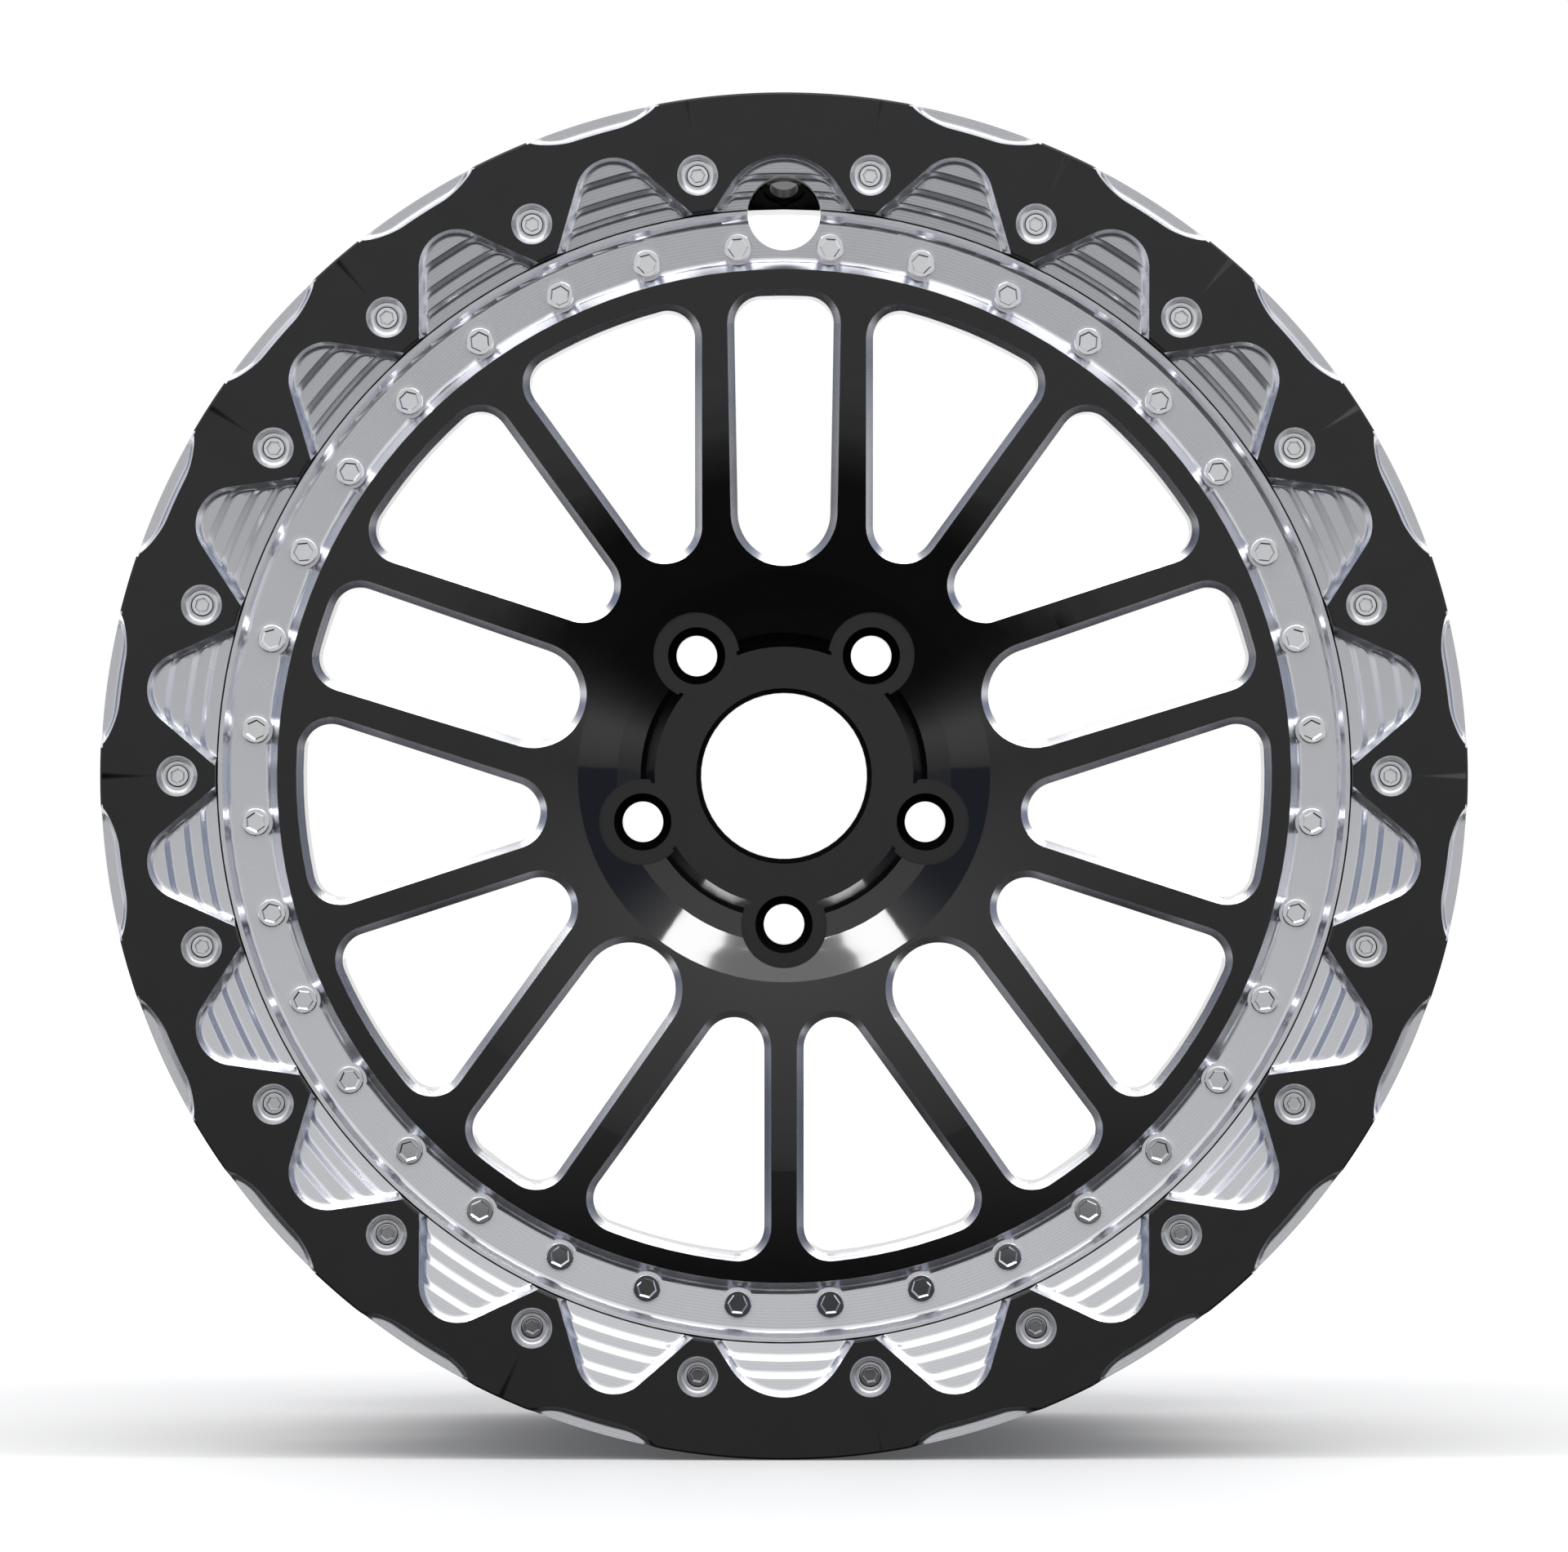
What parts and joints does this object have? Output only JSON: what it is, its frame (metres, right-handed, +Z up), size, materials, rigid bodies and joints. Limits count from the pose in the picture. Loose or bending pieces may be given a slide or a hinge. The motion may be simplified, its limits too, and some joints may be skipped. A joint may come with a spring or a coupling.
{
  "type": "multi-piece beadlock car wheel",
  "caption": "Car wheel of bolted pieces: gloss black spoked centre with bare milled edges, outer clamp ring with stepped crescents and edge scallops, and a deep barrel.",
  "frame": {"origin": "on the wheel's axis, at the hub's mounting face", "axes": "+Y along the spin axis, from the front of the wheel towards the car; +Z up, through the valve hole; the wheel's front looks along -Y"},
  "size_m": [0.546, 0.2449, 0.546],
  "materials": {
    "coated_centre": "gloss black coat on forged aluminium, milled bare in the bolt channel and round the windows",
    "coated_ring": "gloss black coat on forged aluminium, milled bare in the crescents and scallops",
    "coated_barrel": "gloss black coat on spun aluminium",
    "screw_steel": "plain steel",
    "insert_steel": "plain steel",
    "bolt_steel": "plain steel",
    "washer_steel": "plain steel",
    "nut_steel": "plain steel"
  },
  "bodies": {
    "root": {"center_disc": "coated_centre", "beadlock_ring": "coated_ring", "barrel": "coated_barrel", "beadlock_bolts": "screw_steel", "beadlock_inserts": "insert_steel", "assembly_bolts": "bolt_steel", "assembly_washers": "washer_steel", "assembly_nuts": "nut_steel"}
  },
  "joints": []
}
